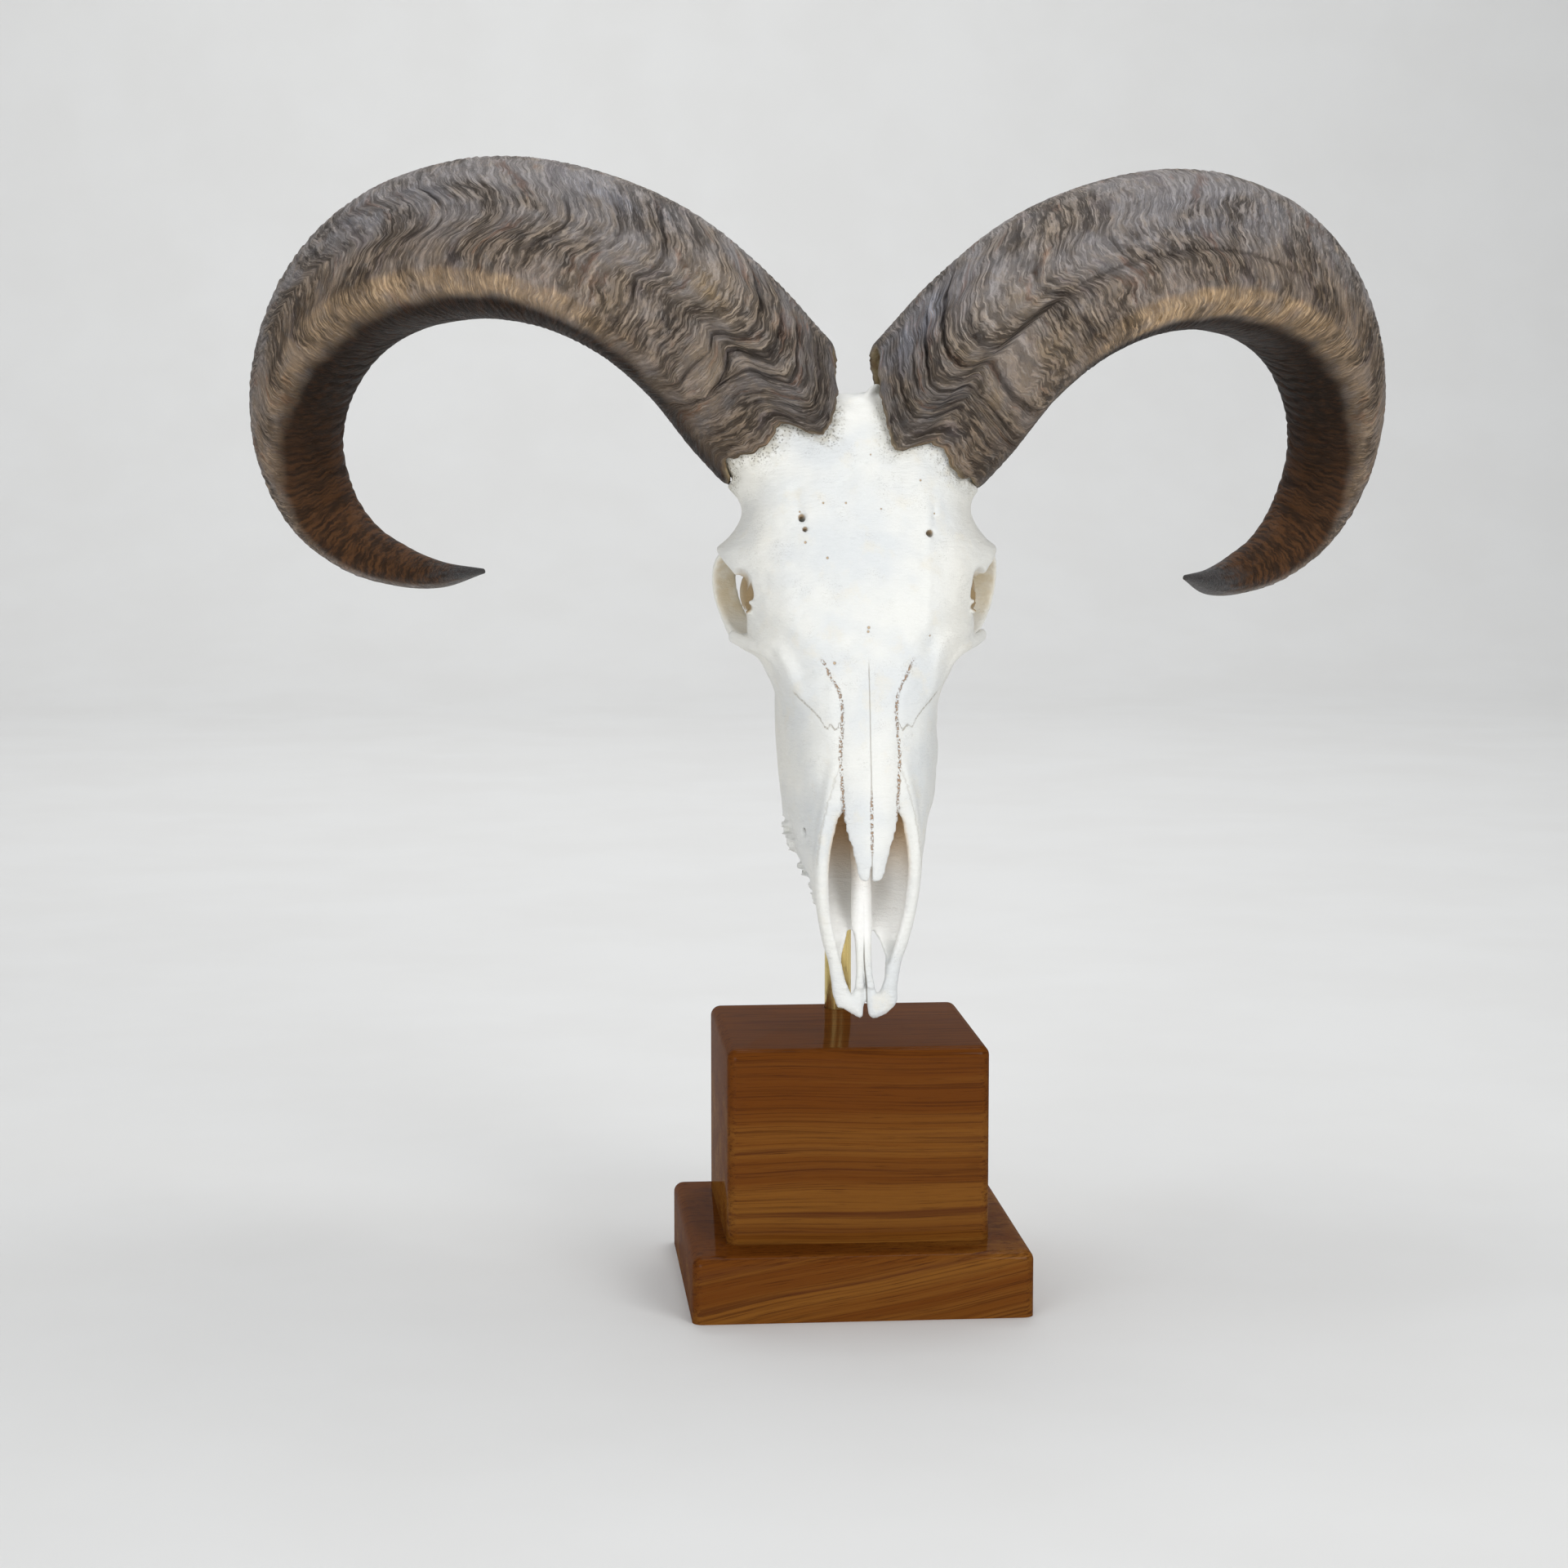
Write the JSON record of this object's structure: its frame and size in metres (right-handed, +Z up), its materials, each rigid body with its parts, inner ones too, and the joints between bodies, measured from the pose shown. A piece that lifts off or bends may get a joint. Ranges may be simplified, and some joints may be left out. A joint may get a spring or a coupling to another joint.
{
  "type": "barbary sheep skull mount",
  "caption": "Horned barbary sheep skull hung nose down on an upright brass rod, which stands in a square wooden block on a wider wooden plinth.",
  "frame": {"origin": "centre of the plinth's underside, where the mount stands on a table", "axes": "+Z up; -Y to the front, the way the face looks; +X to the viewer's right"},
  "size_m": [0.575, 0.2732, 0.526],
  "materials": {
    "bone": "matte",
    "horn": "satin",
    "brass": "satin",
    "wood": "gloss"
  },
  "bodies": {
    "root": {"skull": "bone", "left_horn": "horn", "right_horn": "horn", "rod": "brass", "block": "wood", "plinth": "wood"}
  },
  "joints": []
}
